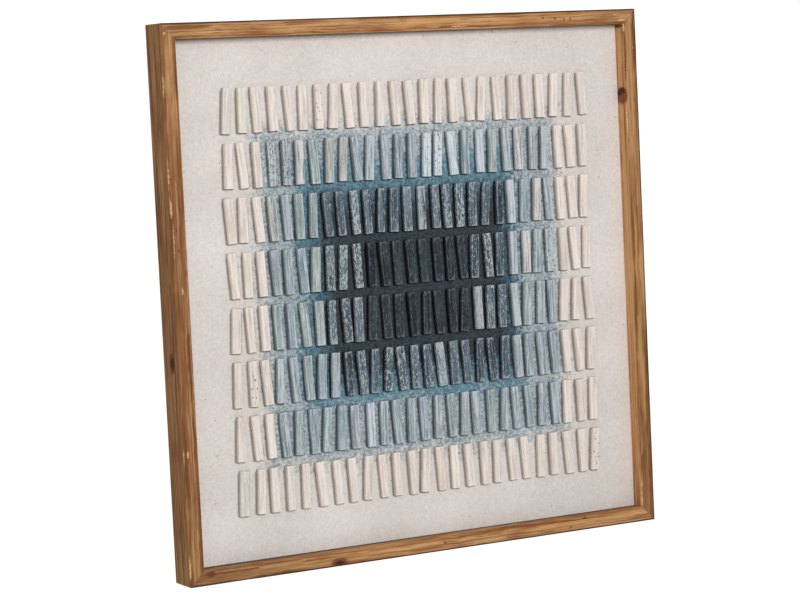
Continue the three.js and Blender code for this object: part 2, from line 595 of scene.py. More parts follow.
# Bends every pattern a little, as real fibres bend round a knot
bend = add_node(pine_tree, "ShaderNodeTexNoise", {
    "Vector": grain_place,
    "Scale": 0.22 * per_cm,
    "Detail": 2.0,
})
bent = add_node(pine_tree, "ShaderNodeVectorMath", {
    0: bend.outputs["Color"],
    1: Vector((12, 3.4, 3.4)) * mm,
    2: grain_place,
}, operation="MULTIPLY_ADD").outputs[0]

# The year rings run round the heart of the tree, which lay outside the lath. The wave node turns 20
# radians in a unit of its scale, and one ring is a full turn.
ring_spacing = 4.2 * mm
heart_away = (0, 11 * mm, 35 * mm)
rings = add_node(pine_tree, "ShaderNodeTexWave", {
    "Vector": add_node(pine_tree, "ShaderNodeMapping", {
        "Vector": bent,
        "Location": heart_away,
        "Scale": (0.09, 1, 1),
    }),
    "Scale": math.tau / 20 / ring_spacing,
    "Distortion": 1.5,
    "Detail": 2.0,
    "Detail Scale": 0.6,
}, wave_type="RINGS", rings_direction="X").outputs["Fac"]

print(f"year rings {ring_spacing / mm:.1f} mm apart")

# %% [markdown]
# Every other pattern in the wood is a noise drawn out along the lath, because fibres are long and
# thin. A streak is about 12 cm long and 2.4 mm wide, a pore about 17 mm long and 0.8 mm wide.

# %% Patterns drawn out along the laths
# How many marks of each pattern lie in a centimetre, along the lath and across it
drawn_out = {
    "streaks": (0.08, 4.2),
    "bands": (0.05, 1.7),
    "lines": (0.06, 6.2),
    "pores": (0.6, 12),
    "patches": (0.12, 0.5),
    "rubbing": (2.6, 7),
}
wood = {}
for name, (along, across) in drawn_out.items():
    stretched = add_node(pine_tree, "ShaderNodeMapping", {
        "Vector": bent,
        "Scale": Vector((along, across, across)) * per_cm,
    })
    wood[name] = add_node(pine_tree, "ShaderNodeTexNoise", {
        "Vector": stretched,
        "Scale": 1.0,
        "Detail": 3.0,
        "Roughness": 0.6,
    }).outputs["Fac"]
print("patterns in the pine:", ", ".join(wood))


def spots(tree, place, marks):
    """A mask that is 1 within each of the marks and 0 away from them."""
    mask = 0.0
    for lath, middle, half in marks:
        offset = Vector((laths_apart * lath_names.index(lath), 0, 0))
        local = add_node(tree, "ShaderNodeMapping", {
            "Vector": place,
            "Location": offset + Vector(middle) * mm,
            "Scale": Vector(half) * mm,
        }, vector_type="TEXTURE")
        reach = add_node(tree, "ShaderNodeVectorMath", {0: local}, operation="LENGTH")
        spot = add_node(tree, "ShaderNodeMapRange", {
            "Value": reach.outputs["Value"],
            "From Min": 1.3,
            "From Max": 0.6,
        }, interpolation_type="SMOOTHSTEP")
        mask = add_node(tree, "ShaderNodeMath", {0: spot, 1: mask}, operation="MAXIMUM")
    return mask


# %% Stained pine
faint_rings = add_node(pine_tree, "ShaderNodeMath", {0: rings, 1: 0.12}, operation="MULTIPLY")
ringed = add_node(pine_tree, "ShaderNodeMath", {
    0: wood["streaks"],
    1: 0.5,
    2: faint_rings,
}, operation="MULTIPLY_ADD")
figure = add_node(pine_tree, "ShaderNodeMath", {
    0: wood["bands"],
    1: 0.38,
    2: ringed,
}, operation="MULTIPLY_ADD")
bare_wood = add_node(pine_tree, "ShaderNodeValToRGB", {"Fac": figure}, stops=[
    (0.32, "#8A5427"),
    (0.39, "#9C6433"),
    (0.45, "#BF824B"),
    (0.51, "#D39A63"),
    (0.62, "#E6B47B"),
]).outputs["Color"]

# Stain darkens the wood by as much as the lath took, and in slow patches
stain_and_light_depth = add_node(pine_tree, "ShaderNodeAttribute", attribute_name="stain_and_light").outputs["Fac"]
stain_patchy = add_node(pine_tree, "ShaderNodeMath", {
    0: wood["patches"],
    1: 1.1,
    2: -0.55,
}, operation="MULTIPLY_ADD")
stained = add_node(pine_tree, "ShaderNodeMix", {
    "Factor": add_node(pine_tree, "ShaderNodeMath", {0: stain_and_light_depth, 1: stain_patchy}, operation="ADD"),
    "A": bare_wood,
    "B": linear("#A89B91"),
}, data_type="RGBA", blend_type="MULTIPLY").outputs[2]

dark_edge_and_shade = add_node(pine_tree, "ShaderNodeAttribute", attribute_name="dark_edge_and_shade").outputs["Fac"]
wear = add_node(pine_tree, "ShaderNodeAttribute", attribute_name="wear").outputs["Fac"]
rubbed = add_node(pine_tree, "ShaderNodeMath", {0: wear, 1: wood["rubbing"]}, operation="MULTIPLY")
finished_wood = layered(pine_tree, stained, [
    (wood["patches"], 0.53, 0.65, 0.45, "#9C5836"),
    (wood["patches"], 0.42, 0.32, 0.2, "#BE9A56"),
    (wood["lines"], 0.54, 0.62, 0.55, "#5E3A1E"),
    (wood["lines"], 0.44, 0.34, 0.35, "#E9C08C"),
    (wood["pores"], 0.42, 0.3, 0.5, "#5F3C22"),
    # Painted light: where the stain is below 0, on the right reveal, the wood is made paler
    (stain_and_light_depth, 0.0, -0.6, 0.5, "#EFC28C"),
    (wear, 0.03, 0.3, 0.7, "#DFAE7A"),
    # A darker outer front edge, and painted shade where the plaster meets the reveal
    (dark_edge_and_shade, 0.1, 0.45, 0.9, "#35251A"),
    (rubbed, 0.3, 0.38, 0.9, "#E2BE8E"),
    (spots(pine_tree, frayed, bare_scratches), 0.3, 0.8, 0.85, "#E0B680"),
    (spots(pine_tree, frayed, knot_rims), 0.0, 1.0, 0.85, "#6E3521"),
    (spots(pine_tree, frayed, knot_hearts), 0.1, 1.0, 0.9, "#3B1B10"),
    (spots(pine_tree, frayed, dark_marks_and_shadow), 0.2, 0.8, 0.85, "#3A2012"),
])
pine_height = add_node(pine_tree, "ShaderNodeMath", {
    0: wood["streaks"],
    1: 0.6,
    2: wood["pores"],
}, operation="MULTIPLY_ADD")
pine_bump = add_node(pine_tree, "ShaderNodeBump", {
    "Strength": 0.35,
    "Distance": 0.25 * mm,
    "Height": pine_height,
})
pine_gloss = add_node(pine_tree, "ShaderNodeMapRange", {
    "Value": figure,
    "To Min": 0.95,
    "To Max": 0.55,
})
pine_shader.inputs["Specular IOR Level"].default_value = 0.3
pine_tree.links.new(finished_wood, pine_shader.inputs["Base Color"])
pine_tree.links.new(pine_gloss.outputs[0], pine_shader.inputs["Roughness"])
pine_tree.links.new(pine_bump.outputs[0], pine_shader.inputs["Normal"])

for lath, side in enumerate(lath_names):
    piece = make_lath(lath, pine)
    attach(piece, "root")
    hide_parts(f"rail_{side}")
    print(f"{piece.name}: {len(piece.data.polygons)} faces")

# %% [markdown]
# The sticks are split, not sawn, and laid by hand, so each leans and sits a little differently. The
# CAD has already chosen every place with a seeded run of chance numbers, and the same rule here
# gives the same places. Eight rows fill the field, and in a row the sticks stand further apart near
# the top and bottom of the panel than in the middle.

# %% Lay out the sticks
# These sizes stay in mm, and the leans in degrees, because the CAD's rule counts in them
stick_length = 49.5
stick_width = 11.8
stick_height = 5.0
stick_side = 2.4
stick_bevel = 1.3
stick_bed = 0.6
field_width = 465
field_height = 463
field_right = 3
field_down = 2
row_gap = 9.6
stick_gap_by_ring = [7.1, 5.6, 5]
length_spread = 1.2
width_spread = 1.6
height_spread = 0.8
lean_left = 5
lean_right = 4
shift_most = 1.6
stick_clearance = 0.3
lay_seed = 7


def chance_from(seed):
    """The same run of even numbers from 0 to 1 each time, for one seed."""
    state = seed
    while True:
        state = state * 16807 % 2147483647
        yield state / 2147483647


def between(low, high, share):
    return low + (high - low) * share


def spread(span, size, gap):
    """The centres of pieces that fill a span end to end, and the room that each has to move."""
    count = max(2, round((span + gap) / (size + gap)))
    pitch = (span - size) / (count - 1)
    centres = [(place - (count - 1) / 2) * pitch for place in range(count)]
    return centres, (pitch - size - stick_clearance) / 2


def stick_lays():
    """Where each stick lies, row by row from the top left, and how it was cut, in mm."""
    chance = chance_from(lay_seed)
    half_length = stick_length / 2
    rows = spread(field_height, stick_length, row_gap)[0]
    lays = []
    for row, row_drop in enumerate(rows):
        ring = min(row, len(rows) - 1 - row, len(stick_gap_by_ring) - 1)
        centres, room = spread(field_width, stick_width, stick_gap_by_ring[ring])
        for place, centre in enumerate(centres):
            wanted = half_length * math.sin(math.radians(between(-lean_right, lean_left, next(chance))))
            sway = max(-room, min(room, wanted))
            shift = min(room - abs(sway), shift_most) * between(-1, 1, next(chance))
            length = stick_length - length_spread * next(chance)
            slide = (stick_length - length) * between(-0.5, 0.5, next(chance))
            width = stick_width - width_spread * next(chance)
            height = stick_height + height_spread * between(-0.5, 0.5, next(chance))
            lays.append({
                "row": row,
                "place": place,
                "last": len(centres) - 1,
                "x": field_right + centre + shift,
                "z": -field_down - row_drop + slide,
                "lean": math.asin(sway / half_length),
                "cut": (width / stick_width, height / stick_height, length / stick_length),
            })
    return lays


lays = stick_lays()
print(f"{len(lays)} sticks in {lays[-1]['row'] + 1} rows")

# %% [markdown]
# The board is brown fibreboard with a 3 mm coat of sand plaster trowelled over its front. The
# trowel leaves the coat slightly uneven, so its front is a grid of points lifted and sunk by a few
# tenths of a millimetre, flat at the rim where it seats behind the laths. The sides and the flat
# back close it. The grid is finer where plaster shows between the sticks. Shade is painted into the
# creases beside the sticks and under the top lath, so each point also keeps its distance from the
# nearest stick or from the top lath as "crease_shade", for the finish.

# %% Build the plaster
plaster_coat = 3 * mm
trowel_wander = 0.35 * mm
flat_rim = 12 * mm
margin_step = 4 * mm
field_step = 1.4 * mm
gap_step = 1.1 * mm
gap_reach = 3 * mm


def trowelled(x, z):
    """How far the plaster stands out of its even face at one place, by slow and quick waves."""
    slow = noise.noise(Vector((x * 14, 3.1, z * 14)))
    quick = noise.noise(Vector((x * 70, 9.4, z * 50)))
    rim = min(1.0, (board_size / 2 - max(abs(x), abs(z))) / flat_rim)
    return trowel_wander * (0.7 * slow + 0.3 * quick) * rim


def stepped(stretches):
    """Places from edge to edge of the board, where each stretch has its end and its step."""
    places = [-board_size / 2]
    for end, step in stretches + [(board_size / 2, margin_step)]:
        count = max(1, round((end - places[-1]) / step))
        places += list(np.linspace(places[-1], end, count + 1)[1:])
    return places


def slab_points(front, back, relief, columns, rows):
    """A square slab with a gridded front and a plain back, as points and faces."""
    points = [(x, -front - relief(x, z), panel_middle + z) for z in rows for x in columns]
    row = len(columns)
    faces = []
    for first in range(0, (len(rows) - 1) * row, row):
        for i in range(first, first + row - 1):
            faces.append((i, i + 1, i + 1 + row, i + row))
    rim = list(range(row - 1))
    rim += [j * row + row - 1 for j in range(len(rows) - 1)]
    rim += [len(rows) * row - 1 - i for i in range(row - 1)]
    rim += [j * row for j in range(len(rows) - 1, 0, -1)]
    behind = len(points)
    points += [(points[i][0], -back, points[i][2]) for i in rim]
    for k in range(len(rim)):
        after = (k + 1) % len(rim)
        faces.append((rim[after], rim[k], behind + k, behind + after))
    faces.append(tuple(behind + k for k in reversed(range(len(rim)))))
    return points, faces


def distance_to_shaded_crease(points):
    """How far each point is from the top lath or a stick, for painted shade, counted up fast past a
    stick's upper end.
    """
    nearest = panel_size / 2 - lath_face - (points[:, 2] - panel_middle)
    for lay in lays:
        away = points[:, [0, 2]] - (lay["x"] * mm, panel_middle + lay["z"] * mm)
        near = np.flatnonzero(np.hypot(away[:, 0], away[:, 1]) < stick_length * mm)
        right, up = away[near].T
        half_width = lay["cut"][0] * stick_width * mm / 2
        half_length = lay["cut"][2] * stick_length * mm / 2
        across = right * math.cos(lay["lean"]) + up * math.sin(lay["lean"])
        along = up * math.cos(lay["lean"]) - right * math.sin(lay["lean"])
        beside = abs(across) - half_width
        beyond = abs(along) - half_length
        distance = np.hypot(np.maximum(beside, 0), np.maximum(beyond, 0))
        distance += np.minimum(np.maximum(beside, beyond), 0)
        # Painted shade stops short of a stick's upper end, which the light from above reaches
        distance += 2 * np.maximum(0, along - half_length + gap_reach)
        nearest[near] = np.minimum(nearest[near], distance)
    return nearest


field_left = (field_right - field_width / 2) * mm - gap_reach
field_end = field_left + field_width * mm + 2 * gap_reach
columns = stepped([(field_left, margin_step), (field_end, field_step)])
row_drops = spread(field_height, stick_length, row_gap)[0]
row_middles = [-(field_down + drop) * mm for drop in reversed(row_drops)]
half_stick = stick_length * mm / 2
stretches = [(row_middles[0] - half_stick - gap_reach, margin_step)]
for row_middle in row_middles:
    stretches.append((row_middle - half_stick + gap_reach, gap_step))
    stretches.append((row_middle + half_stick - gap_reach, margin_step))
rows = stepped(stretches)
print(f"plaster grid: {len(columns)} by {len(rows)} points")

# %% [markdown]
# Sand plaster is matt and gritty: pale grains, a few dark ones, and faint warm and grey clouds.
# The paint on it was sprayed in squares, one inside the other, each with a soft edge that breaks up
# into speckles because only the tops of the grains catch the last of the spray. Each square is a
# distance from the edge of a box, made uneven by noise and turned into a mask. The squares are
# laid on from the outside in, so a loop over four named squares does it.

# %% Sand plaster with its sprayed squares
# The colour, the middle and half size of the square in mm, and how far its edge fades
sprayed_squares = [
    ("#A6B1B6", (1, -3), (191, 186), 17),
    ("#6C8E9C", (-4, 8), (141, 137), 11),
    ("#516D79", (1, 7), (131, 107), 13),
    ("#3A434A", (5, 0), (115, 92), 12),
]
plaster, plaster_tree, plaster_shader = new_finish("sand_plaster_sprayed")
board_place = add_node(plaster_tree, "ShaderNodeTexCoord").outputs["Object"]

# How many marks of each pattern lie in a centimetre, and how finely each is broken up
sand_patterns = {
    "grit": (9, 2),
    "grains": (3.3, 2),
    "clots": (2.6, 3),
    "drift": (0.34, 3),
    "clouds": (0.12, 3),
}
sand = {}
for name, (marks, detail) in sand_patterns.items():
    sand[name] = add_node(plaster_tree, "ShaderNodeTexNoise", {
        "Vector": board_place,
        "Scale": marks * per_cm,
        "Detail": detail,
    })
ground = add_node(plaster_tree, "ShaderNodeValToRGB", {"Fac": sand["clouds"]}, stops=[
    (0.35, "#DFD8D2"),
    (0.5, "#E4DDD8"),
    (0.65, "#E9E2DD"),
]).outputs["Color"]

# The edge of a square drifts by up to 13 mm either way, and breaks up by up to 20 mm
drifting = add_node(plaster_tree, "ShaderNodeMath", {
    0: sand["drift"],
    1: 26 * mm,
    2: -13 * mm,
}, operation="MULTIPLY_ADD")
broken = add_node(plaster_tree, "ShaderNodeMath", {
    0: sand["clots"],
    1: 40 * mm,
    2: -20 * mm,
}, operation="MULTIPLY_ADD")
unevenness = add_node(plaster_tree, "ShaderNodeMath", {0: drifting, 1: broken}, operation="ADD")
for colour, middle, half, fade in sprayed_squares:
    centre = (middle[0] * mm, 0, panel_middle + middle[1] * mm)
    away = add_node(plaster_tree, "ShaderNodeVectorMath", {
        0: board_place,
        1: centre,
    }, operation="SUBTRACT")
    folded = add_node(plaster_tree, "ShaderNodeVectorMath", {0: away}, operation="ABSOLUTE")
    past = add_node(plaster_tree, "ShaderNodeVectorMath", {
        0: folded,
        1: (half[0] * mm, 0, half[1] * mm),
    }, operation="SUBTRACT")
    split = add_node(plaster_tree, "ShaderNodeSeparateXYZ", {"Vector": past})
    outside = add_node(plaster_tree, "ShaderNodeMath", {
        0: split.outputs["X"],
        1: split.outputs["Z"],
    }, operation="MAXIMUM")
    ragged = add_node(plaster_tree, "ShaderNodeMath", {0: outside, 1: unevenness}, operation="ADD")
    ground = layered(plaster_tree, ground, [(ragged, fade * mm, -fade * mm, 1.0, colour)])
print(len(sprayed_squares), "sprayed squares on the plaster")

# %% [markdown]
# The sprayed ground is still as smooth as paper. The sand comes next: each grain took more or less
# of the spray, shade is painted into the creases beside the sticks and under the top lath, and the
# grit makes the whole coat a little lighter and darker.

# %% Sand and creases
# Where there is paint, each grain of sand took more or less of it
lightness = add_node(plaster_tree, "ShaderNodeRGBToBW", {"Color": ground})
grain_depth = add_node(plaster_tree, "ShaderNodeMapRange", {
    "Value": lightness,
    "From Min": 0.68,
    "From Max": 0.45,
    "To Min": 0.3,
    "To Max": 2.1,
})
uneven = add_node(plaster_tree, "ShaderNodeMath", {0: sand["grains"], 1: 0.5}, operation="SUBTRACT")
taken = add_node(plaster_tree, "ShaderNodeMath", {
    0: uneven,
    1: grain_depth,
    2: 1.0,
}, operation="MULTIPLY_ADD")
ground = add_node(plaster_tree, "ShaderNodeVectorMath", {
    0: ground,
    "Scale": taken,
}, operation="SCALE").outputs[0]

# Shade is painted into the creases beside the sticks and under the top lath, most of all in the dark
# squares
crease_shade_depth = add_node(plaster_tree, "ShaderNodeMapRange", {
    "Value": lightness,
    "From Min": 0.7,
    "From Max": 0.1,
    "To Min": 0.62,
    "To Max": 1.0,
})
to_crease_shade = add_node(plaster_tree, "ShaderNodeAttribute", attribute_name="crease_shade").outputs["Fac"]
crease_shade = add_node(plaster_tree, "ShaderNodeMapRange", {
    "Value": to_crease_shade,
    "From Min": 2.2 * mm,
    "From Max": 0.2 * mm,
    "To Max": crease_shade_depth,
}, interpolation_type="SMOOTHSTEP")
ground = add_node(plaster_tree, "ShaderNodeMix", {
    "Factor": crease_shade,
    "A": ground,
    "B": linear("#565452"),
}, data_type="RGBA", blend_type="MULTIPLY").outputs[2]

# Grit and clots together make the plaster lighter and darker
gritty = add_node(plaster_tree, "ShaderNodeMix", {
    "Factor": 0.5,
    "A": sand["grit"],
    "B": sand["clots"],
})
grit_tone = add_node(plaster_tree, "ShaderNodeValToRGB", {"Fac": gritty}, stops=[
    (0.3, "#8F8F8F"),
    (0.5, "#BCBCBC"),
    (0.7, "#E0E0E0"),
]).outputs["Color"]
sanded = add_node(plaster_tree, "ShaderNodeMix", {
    "Factor": 0.5,
    "A": ground,
    "B": grit_tone,
}, data_type="RGBA", blend_type="OVERLAY")

print("the sand has", len(sand), "patterns")

# %% [markdown]
# Last come the grains that are dark by nature. A Voronoi pattern gives each grain a cell and a
# number of its own, and a grain is dark where that number is high. Then the coat itself is made.

# %% Dark grains and the finished coat
# One grain in thirty is dark, and shows as a speck in the middle of its cell
cells = add_node(plaster_tree, "ShaderNodeTexVoronoi", {"Vector": board_place, "Scale": 1.9 * per_cm})
own_number = add_node(plaster_tree, "ShaderNodeSeparateColor", {"Color": cells.outputs["Color"]})
is_dark = add_node(plaster_tree, "ShaderNodeMath", {
    0: own_number.outputs[0],
    1: 0.965,
}, operation="GREATER_THAN")
is_near = add_node(plaster_tree, "ShaderNodeMath", {
    0: cells.outputs["Distance"],
    1: 0.16,
}, operation="LESS_THAN")
speck = add_node(plaster_tree, "ShaderNodeMath", {0: is_dark, 1: is_near}, operation="MULTIPLY")
speckled = add_node(plaster_tree, "ShaderNodeMix", {
    "Factor": add_node(plaster_tree, "ShaderNodeMath", {0: speck, 1: 0.55}, operation="MULTIPLY"),
    "A": sanded.outputs[2],
    "B": linear("#6A625A"),
}, data_type="RGBA")
plaster_height = add_node(plaster_tree, "ShaderNodeMath", {
    0: sand["clots"],
    1: 0.8,
    2: sand["grit"],
}, operation="MULTIPLY_ADD")
plaster_bump = add_node(plaster_tree, "ShaderNodeBump", {
    "Strength": 0.55,
    "Distance": 0.5 * mm,
    "Height": plaster_height,
})
plaster_shader.inputs["Roughness"].default_value = 0.92
plaster_shader.inputs["Specular IOR Level"].default_value = 0.2
plaster_tree.links.new(speckled.outputs[2], plaster_shader.inputs["Base Color"])
plaster_tree.links.new(plaster_bump.outputs[0], plaster_shader.inputs["Normal"])

coat_back = plaster_face - plaster_coat
coat_points, coat_faces = slab_points(plaster_face, coat_back, trowelled, columns, rows)
coat = new_piece("plaster_coat", coat_points, coat_faces, plaster)
# Keeps the distance to the painted shade beside the sticks and under the top lath
store(coat.data, "crease_shade", "FLOAT", distance_to_shaded_crease(np.array(coat_points)))
coat.data.shade_smooth()
coat.data.set_sharp_from_angle(angle=math.radians(40))
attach(coat, "root")
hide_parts("relief_board")
print(f"{coat.name}: {len(coat.data.polygons)} faces")

# %% [markdown]
# Behind the plaster is the fibreboard that carries it. Only its brown back is ever seen, where the
# pressed fibres show as a fine mottle.

# %% The fibreboard behind
fibreboard, fibreboard_tree, fibreboard_shader = new_finish("pressed_fibreboard")
back_place = add_node(fibreboard_tree, "ShaderNodeTexCoord").outputs["Object"]
felt = add_node(fibreboard_tree, "ShaderNodeTexNoise", {
    "Vector": back_place,
    "Scale": 3.2 * per_cm,
    "Detail": 4.0,
})
shade = add_node(fibreboard_tree, "ShaderNodeTexNoise", {
    "Vector": back_place,
    "Scale": 0.09 * per_cm,
    "Detail": 2.0,
})
mottle = add_node(fibreboard_tree, "ShaderNodeMath", {
    0: shade,
    1: 0.35,
    2: felt,
}, operation="MULTIPLY_ADD")
board_brown = add_node(fibreboard_tree, "ShaderNodeValToRGB", {"Fac": mottle}, stops=[
    (0.5, "#63432B"),
    (0.68, "#815C3D"),
    (0.85, "#9C7753"),
])
felt_bump = add_node(fibreboard_tree, "ShaderNodeBump", {
    "Strength": 0.4,
    "Distance": 0.2 * mm,
    "Height": felt,
})
fibreboard_shader.inputs["Roughness"].default_value = 0.8
fibreboard_tree.links.new(board_brown.outputs["Color"], fibreboard_shader.inputs["Base Color"])
fibreboard_tree.links.new(felt_bump.outputs[0], fibreboard_shader.inputs["Normal"])

quarters = list(np.linspace(-board_size / 2, board_size / 2, 5))
backing_points, backing_faces = slab_points(
    coat_back, board_back, lambda x, z: 0, quarters, quarters)
backing = new_piece("backing_board", backing_points, backing_faces, fibreboard)
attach(backing, "root")
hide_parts("relief_board")
print(f"{backing.name}: {len(backing.data.polygons)} faces")

# %% [markdown]
# Four paints were used, and which one a stick has depends on how far in it stands. Rows and ends of
# rows count as rings: the outer row and the last three sticks of a row are cream, then come pale
# blue, slate and charcoal. No two sticks took the paint alike, so each gets one of its paint's
# shades, a little lighter or darker. The few that stand out, such as the chalky and the khaki ones,
# the most flecked and the ones with small holes, are named one by one.

# %% Choose each stick's paint
paints = {
    "cream": ["#F0E5DD", "#EEE2D8", "#ECE1D7", "#EFE2DC", "#E9DED6"],
    "pale_blue": ["#A0ADB4", "#96A7AE", "#AAB4B9", "#9DABAB", "#A2ABB5"],
    "slate": ["#697781", "#5C6A75", "#727F88", "#54626D"],
    "charcoal": ["#2D363E", "#283139", "#343D45"],
}
ring_paint = ["cream", "pale_blue", "slate", "charcoal"]
ring_starts = [3, 7, 10]

# Sticks that stand out, by their row and their place in it, counted from 1 at the top left
odd_shades = {
    "chalk": ("#E0E8EE", [(2, 15), (2, 16), (2, 17)]),
    "lavender": ("#D8DEE8", [(2, 19), (3, 22), (7, 10)]),
    "pearl": ("#E6DEDA", [(2, 6), (2, 22), (3, 24), (4, 23)]),
    "silver": ("#BCC5CA", [
        (2, 11), (2, 21), (2, 24), (4, 22), (4, 25), (5, 19), (5, 22), (6, 4), (6, 5), (6, 8),
    ]),
    "misty": ("#A8B6BC", [(3, 15), (6, 16)]),
    "khaki": ("#C0BFB5", [(2, 8), (2, 9), (3, 4)]),
    "sage": ("#A3ADA6", [(4, 7), (5, 7)]),
    "storm": ("#3F4B55", [
        (3, 21), (4, 19), (4, 20), (4, 21), (6, 9), (6, 12), (6, 19), (6, 20),
    ]),
    "peach": ("#E7D6CA", [(8, 10), (8, 14)]),
    "greyish": ("#DCD6CF", [(1, 1), (8, 1)]),
    "yellowish": ("#E5DFD0", [(1, 2)]),
}
flecked = {
    (2, 4): 0.2, (2, 5): 0.2, (3, 10): 1.3, (3, 15): 0.5, (3, 18): 1.0,
    (4, 8): 0.7, (4, 9): 1.0, (4, 10): 1.1, (4, 19): 0.3, (4, 20): 0.8,
    (5, 7): 0.2, (5, 8): 0.7, (5, 9): 0.6, (5, 10): 0.6, (5, 19): 0.4, (5, 20): 0.5, (5, 21): 0.5,
    (6, 8): 0.3, (6, 12): 0.8, (6, 13): 0.6, (6, 16): 1.0,
}
pitted = {
    (1, 7): 0.8, (2, 4): 1.6, (2, 5): 1.3, (2, 15): 0.2, (2, 16): 1.0,
    (4, 25): 1.0, (6, 2): 0.8, (8, 25): 0.8,
}
paint_seed = 11
roll_most = 8


def ring_of(lay):
    """How many rings in from the edge of the field a stick stands."""
    row_ring = min(lay["row"], lays[-1]["row"] - lay["row"])
    from_end = min(lay["place"], lay["last"] - lay["place"])
    return min(row_ring, sum(from_end >= start for start in ring_starts))


def choose_paints():
    """Gives each stick its paint, shade, flecks, pits and the way it rolls on its bed."""
    chance = chance_from(paint_seed)
    odd_shade = {where: shade for shade, places in odd_shades.values() for where in places}
    for number, lay in enumerate(lays):
        lay["number"] = number
        lay["paint"] = ring_paint[ring_of(lay)]
        shades = paints[lay["paint"]]
        shade = shades[int(next(chance) * len(shades))]
        lighter = between(0.92, 1.09, next(chance))
        lay["flecks"] = 0.0
        if lay["paint"] == "slate":
            lay["flecks"] = max(0, between(-0.5, 0.9, next(chance)))
        lay["pits"] = 0.0
        lay["roll"] = math.radians(between(-roll_most, roll_most, next(chance)))
        where = (lay["row"] + 1, lay["place"] + 1)
        if where in odd_shade or where in flecked or where in pitted:
            shade = odd_shade.get(where, shade)
            lighter = 1
            lay["flecks"] = flecked.get(where, 0.0)
            lay["pits"] = pitted.get(where, 0.0)
        lay["shade"] = [share * lighter for share in linear(shade)[:3]] + [1.0]


choose_paints()
for name in ring_paint:
    print(name, sum(lay["paint"] == name for lay in lays))

# %% [markdown]
# One stick repeated 216 times is work for Geometry Nodes. The tree makes a blank with a few dozen
# faces from a gridded cube and pulls it into the split section with its two bevels. The rim of its
# top is marked, because the paint is rubbed thin there, and the blank keeps its own coordinates as
# "fibre", which lets the grain in the paint follow each stick as it leans.

# %% The nodes that shape a blank
# The inputs of the tree, their kinds and what they are unless a modifier says otherwise
stick_inputs = [
    ("Places", "NodeSocketGeometry", None),
    ("Length", "NodeSocketFloat", stick_length * mm),
    ("Width", "NodeSocketFloat", stick_width * mm),
    ("Height", "NodeSocketFloat", stick_height * mm),
    ("Side", "NodeSocketFloat", stick_side * mm),
    ("Bevel", "NodeSocketFloat", stick_bevel * mm),
    ("Bed", "NodeSocketFloat", 2 * stick_bed * mm),
    ("Wobble", "NodeSocketFloat", 0.9 * mm),
    ("Wobble waves", "NodeSocketFloat", 0.7 * per_cm),
    ("Paint", "NodeSocketMaterial", None),
]


print(len(stick_inputs), "inputs of the tree that lays sticks")


def marked_cube(tree):
    """A cube of 3 by 2 by 6 cells, its top towards -Y, with the rim of the top marked."""
    cube = add_node(tree, "GeometryNodeMeshCube", {
        "Size": (1, 1, 1),
        "Vertices X": 4,
        "Vertices Y": 3,
        "Vertices Z": 7,
    })
    place = add_node(tree, "GeometryNodeInputPosition")
    whole = add_node(tree, "ShaderNodeVectorMath", {0: place}, operation="ABSOLUTE")
    away = add_node(tree, "ShaderNodeSeparateXYZ", {"Vector": whole})
    furthest = add_node(tree, "ShaderNodeMath", {
        0: away.outputs["X"],
        1: away.outputs["Z"],
    }, operation="MAXIMUM")
    at_edge = add_node(tree, "ShaderNodeMath", {0: furthest, 1: 0.49}, operation="GREATER_THAN")
    depth = add_node(tree, "ShaderNodeSeparateXYZ", {"Vector": place}).outputs["Y"]
    at_top = add_node(tree, "ShaderNodeMath", {0: depth, 1: -0.49}, operation="LESS_THAN")
    return add_node(tree, "GeometryNodeStoreNamedAttribute", {
        "Geometry": cube,
        "Name": "rim",
        "Value": add_node(tree, "ShaderNodeMath", {0: at_edge, 1: at_top}, operation="MULTIPLY"),
    }, data_type="FLOAT", domain="POINT")


def stick_blank(tree, size):
    """The cube pulled into the section of a split stick, which keeps its own coordinates."""
    place = add_node(tree, "GeometryNodeInputPosition")
    corner = add_node(tree, "ShaderNodeSeparateXYZ", {"Vector": place})
    low_part = add_node(tree, "ShaderNodeMapRange", {
        "Value": corner.outputs["Y"],
        "From Min": 0.5,
        "From Max": 0.0,
        "To Min": add_node(tree, "ShaderNodeMath", {0: size["Bed"], 1: -1.0}, operation="MULTIPLY"),
        "To Max": size["Side"],
    })
    top_share = add_node(tree, "ShaderNodeMapRange", {
        "Value": corner.outputs["Y"],
        "From Min": 0.0,
        "From Max": -0.5,
    })
    rise = add_node(tree, "ShaderNodeMath", {
        0: size["Height"],
        1: size["Side"],
    }, operation="SUBTRACT")
    height = add_node(tree, "ShaderNodeMath", {
        0: rise,
        1: top_share,
        2: low_part,
    }, operation="MULTIPLY_ADD")
    lean_in = add_node(tree, "ShaderNodeMath", {
        0: size["Bevel"],
        1: top_share,
    }, operation="MULTIPLY")
    width = add_node(tree, "ShaderNodeMath", {
        0: lean_in,
        1: -2.0,
        2: size["Width"],
    }, operation="MULTIPLY_ADD")
    shaped = add_node(tree, "ShaderNodeCombineXYZ", {
        axis: add_node(tree, "ShaderNodeMath", {0: share, 1: length}, operation="MULTIPLY")
        for axis, share, length in [
            ("X", corner.outputs["X"], width),
            ("Y", height, -1.0),
            ("Z", corner.outputs["Z"], size["Length"]),
        ]
    })
    blank = add_node(tree, "GeometryNodeSetPosition", {
        "Geometry": marked_cube(tree),
        "Position": shaped,
    })
    return add_node(tree, "GeometryNodeStoreNamedAttribute", {
        "Geometry": blank,
        "Name": "fibre",
        "Value": place,
    }, data_type="FLOAT_VECTOR", domain="POINT")


# %% [markdown]
# The tree then sets the blank on every point, turned and sized as the point says. After the copies
# are made real, a gentle noise moves their corners, so that no two are the same. Each stick has a
# number, which moves its "fibre" somewhere else, or every stick would have the same streaks.

# %% The tree that lays sticks
fibres_apart = (0.173, 0, 0.391)


